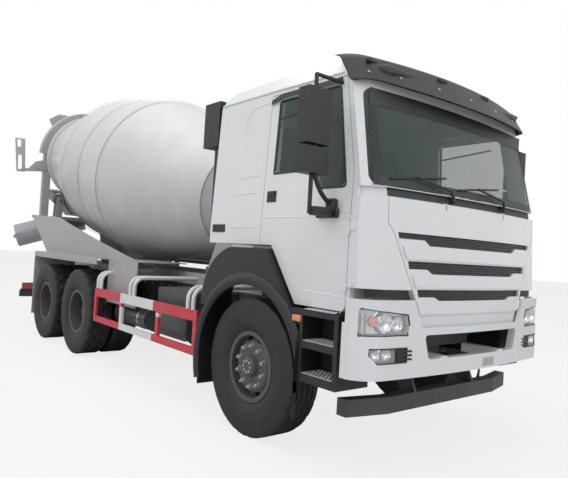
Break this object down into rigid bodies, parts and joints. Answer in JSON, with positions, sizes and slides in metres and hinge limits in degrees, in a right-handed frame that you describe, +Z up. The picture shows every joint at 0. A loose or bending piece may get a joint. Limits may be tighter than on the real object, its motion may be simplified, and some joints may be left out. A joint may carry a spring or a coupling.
{
  "type": "concrete mixer truck",
  "caption": "Three-axle concrete mixer truck with a tilting drum carrier, short forward cab, rear hopper and a slewing, folding discharge chute.",
  "frame": {"origin": "on the ground, under the middle of the truck's overall box", "axes": "+X forward, +Y to the left, +Z up"},
  "size_m": [9.5079, 2.91, 3.9715],
  "materials": {
    "chassis_grey": "satin",
    "engine_iron": "satin",
    "bumper_paint": "gloss",
    "lens": "gloss",
    "black_plastic": "satin",
    "white_paint": "gloss",
    "guard_paint": "gloss",
    "tank_steel": "satin",
    "mixer_grey": "satin",
    "tank_paint": "satin",
    "cab_floor": "satin",
    "interior": "matte",
    "glass": "gloss",
    "rim_steel": "satin",
    "tyre": "matte",
    "drum_paint": "gloss",
    "roller_steel": "satin",
    "chute_paint": "satin"
  },
  "bodies": {
    "chassis": {"frame_rails": "chassis_grey", "powertrain": "engine_iron", "axles": "chassis_grey", "front_bumper": "bumper_paint", "lamps": "lens", "underrun_bars": "chassis_grey", "front_fenders": "black_plastic", "side_guards": "guard_paint", "battery_box": "black_plastic", "side_tanks": "tank_steel", "rear_fenders": "white_paint", "mixer_frame": "mixer_grey", "rear_arch": "mixer_grey", "drum_drive": "chassis_grey", "water_tank": "tank_paint", "hopper": "mixer_grey", "discharge_funnel": "mixer_grey", "ladder_platform": "mixer_grey"},
    "cab": {"cab_roof": "white_paint", "cab_floor": "cab_floor", "cab_body": "white_paint", "cab_front": "white_paint", "windscreen": "glass", "roof_visor": "black_plastic", "air_intake": "black_plastic", "cab_interior": "interior"},
    "door_r": {"door_r": "white_paint", "door_glass_r": "glass", "mirrors_r": "black_plastic"},
    "door_l": {"door_l": "white_paint", "door_glass_l": "glass", "mirrors_l": "black_plastic"},
    "lid": {"grille_lid": "white_paint", "grille_slats": "black_plastic"},
    "knuckle_r": {"knuckle_r": "chassis_grey"},
    "knuckle_l": {"knuckle_l": "chassis_grey"},
    "wheel_front_r": {"rim_front_r": "rim_steel", "tyre_front_r": "tyre"},
    "wheel_front_l": {"rim_front_l": "rim_steel", "tyre_front_l": "tyre"},
    "wheel_mid_r": {"rims_mid_r": "rim_steel", "tyres_mid_r": "tyre"},
    "wheel_mid_l": {"rims_mid_l": "rim_steel", "tyres_mid_l": "tyre"},
    "wheel_rear_r": {"rims_rear_r": "rim_steel", "tyres_rear_r": "tyre"},
    "wheel_rear_l": {"rims_rear_l": "rim_steel", "tyres_rear_l": "tyre"},
    "drum": {"drum_shell": "drum_paint", "drum_mouth": "drum_paint"},
    "roller_r": {"roller_r": "roller_steel"},
    "roller_l": {"roller_l": "roller_steel"},
    "chute_bracket": {"chute_bracket": "mixer_grey"},
    "chute": {"chute": "chute_paint"},
    "chute_extension": {"chute_extension": "chute_paint"},
    "jack_barrel": {"jack_barrel": "chute_paint"},
    "jack_rod": {"jack_rod": "roller_steel"}
  },
  "joints": [
    {"name": "cab_tilt", "type": "hinge", "parent": "chassis", "child": "cab", "pos_m": [4.634, 0, 1], "axis": [0, 1, 0], "range_deg": [0, 50]},
    {"name": "door_r", "type": "hinge", "parent": "cab", "child": "door_r", "pos_m": [4.454, -1.158, 1.5], "axis": [0, 0, 1], "range_deg": [0, 70]},
    {"name": "door_l", "type": "hinge", "parent": "cab", "child": "door_l", "pos_m": [4.454, 1.158, 1.5], "axis": [0, 0, -1], "range_deg": [0, 70]},
    {"name": "lid", "type": "hinge", "parent": "cab", "child": "lid", "pos_m": [4.683, 0, 1.921], "axis": [0, -1, 0], "range_deg": [0, 75]},
    {"name": "steer_r", "type": "hinge", "parent": "chassis", "child": "knuckle_r", "pos_m": [3.404, -0.85, 0.562], "axis": [0, 0, 1], "range_deg": [-38, 38]},
    {"name": "steer_l", "type": "hinge", "parent": "chassis", "child": "knuckle_l", "pos_m": [3.404, 0.85, 0.562], "axis": [0, 0, 1], "range_deg": [-38, 38]},
    {"name": "wheel_front_r", "type": "hinge", "parent": "knuckle_r", "child": "wheel_front_r", "pos_m": [3.404, -1.011, 0.562], "axis": [0, 1, 0], "continuous": true},
    {"name": "wheel_front_l", "type": "hinge", "parent": "knuckle_l", "child": "wheel_front_l", "pos_m": [3.404, 1.011, 0.562], "axis": [0, 1, 0], "continuous": true},
    {"name": "wheel_mid_r", "type": "hinge", "parent": "chassis", "child": "wheel_mid_r", "pos_m": [-0.421, -0.915, 0.562], "axis": [0, 1, 0], "continuous": true},
    {"name": "wheel_mid_l", "type": "hinge", "parent": "chassis", "child": "wheel_mid_l", "pos_m": [-0.421, 0.915, 0.562], "axis": [0, 1, 0], "continuous": true},
    {"name": "wheel_rear_r", "type": "hinge", "parent": "chassis", "child": "wheel_rear_r", "pos_m": [-1.771, -0.915, 0.562], "axis": [0, 1, 0], "continuous": true},
    {"name": "wheel_rear_l", "type": "hinge", "parent": "chassis", "child": "wheel_rear_l", "pos_m": [-1.771, 0.915, 0.562], "axis": [0, 1, 0], "continuous": true},
    {"name": "drum_spin", "type": "hinge", "parent": "chassis", "child": "drum", "pos_m": [-3.52625, 0, 3.04078], "axis": [-0.9833, 0, 0.1822], "continuous": true},
    {"name": "roller_r", "type": "hinge", "parent": "chassis", "child": "roller_r", "pos_m": [-3.67225, -0.52029, 2.25302], "axis": [-0.9833, 0, 0.1822], "continuous": true},
    {"name": "roller_l", "type": "hinge", "parent": "chassis", "child": "roller_l", "pos_m": [-3.67225, 0.52029, 2.25302], "axis": [-0.9833, 0, 0.1822], "continuous": true},
    {"name": "chute_slew", "type": "hinge", "parent": "chassis", "child": "chute_bracket", "pos_m": [-4.156, 0, 1.5], "axis": [0, 0, -1], "range_deg": [-20, 160]},
    {"name": "chute_tilt", "type": "hinge", "parent": "chute_bracket", "child": "chute", "pos_m": [-4.156, 0, 1.63], "axis": [-0.9397, 0.342, 0], "range_deg": [-12, 12]},
    {"name": "chute_fold", "type": "hinge", "parent": "chute", "child": "chute_extension", "pos_m": [-4.52888, -1.02447, 1.52778], "axis": [0.9397, -0.342, 0], "range_deg": [0, 175]},
    {"name": "jack_swing", "type": "hinge", "parent": "chute_bracket", "child": "jack_barrel", "pos_m": [-4.1902, -0.09397, 1.35], "axis": [-0.9397, 0.342, 0], "range_deg": [-16, 16]},
    {"name": "jack_slide", "type": "slide", "parent": "jack_barrel", "child": "jack_rod", "axis": [-0.3337, -0.9168, 0.2195], "range_m": [-0.08, 0.08]}
  ],
  "couplings": [
    {"joint": "steer_l", "follows": "steer_r", "ratio": 1},
    {"joint": "roller_r", "follows": "drum_spin", "ratio": -6.9583},
    {"joint": "roller_l", "follows": "drum_spin", "ratio": -6.9583},
    {"joint": "jack_swing", "follows": "chute_tilt", "ratio": 1.066},
    {"joint": "jack_slide", "follows": "chute_tilt", "m_per_rad": 0.294}
  ]
}
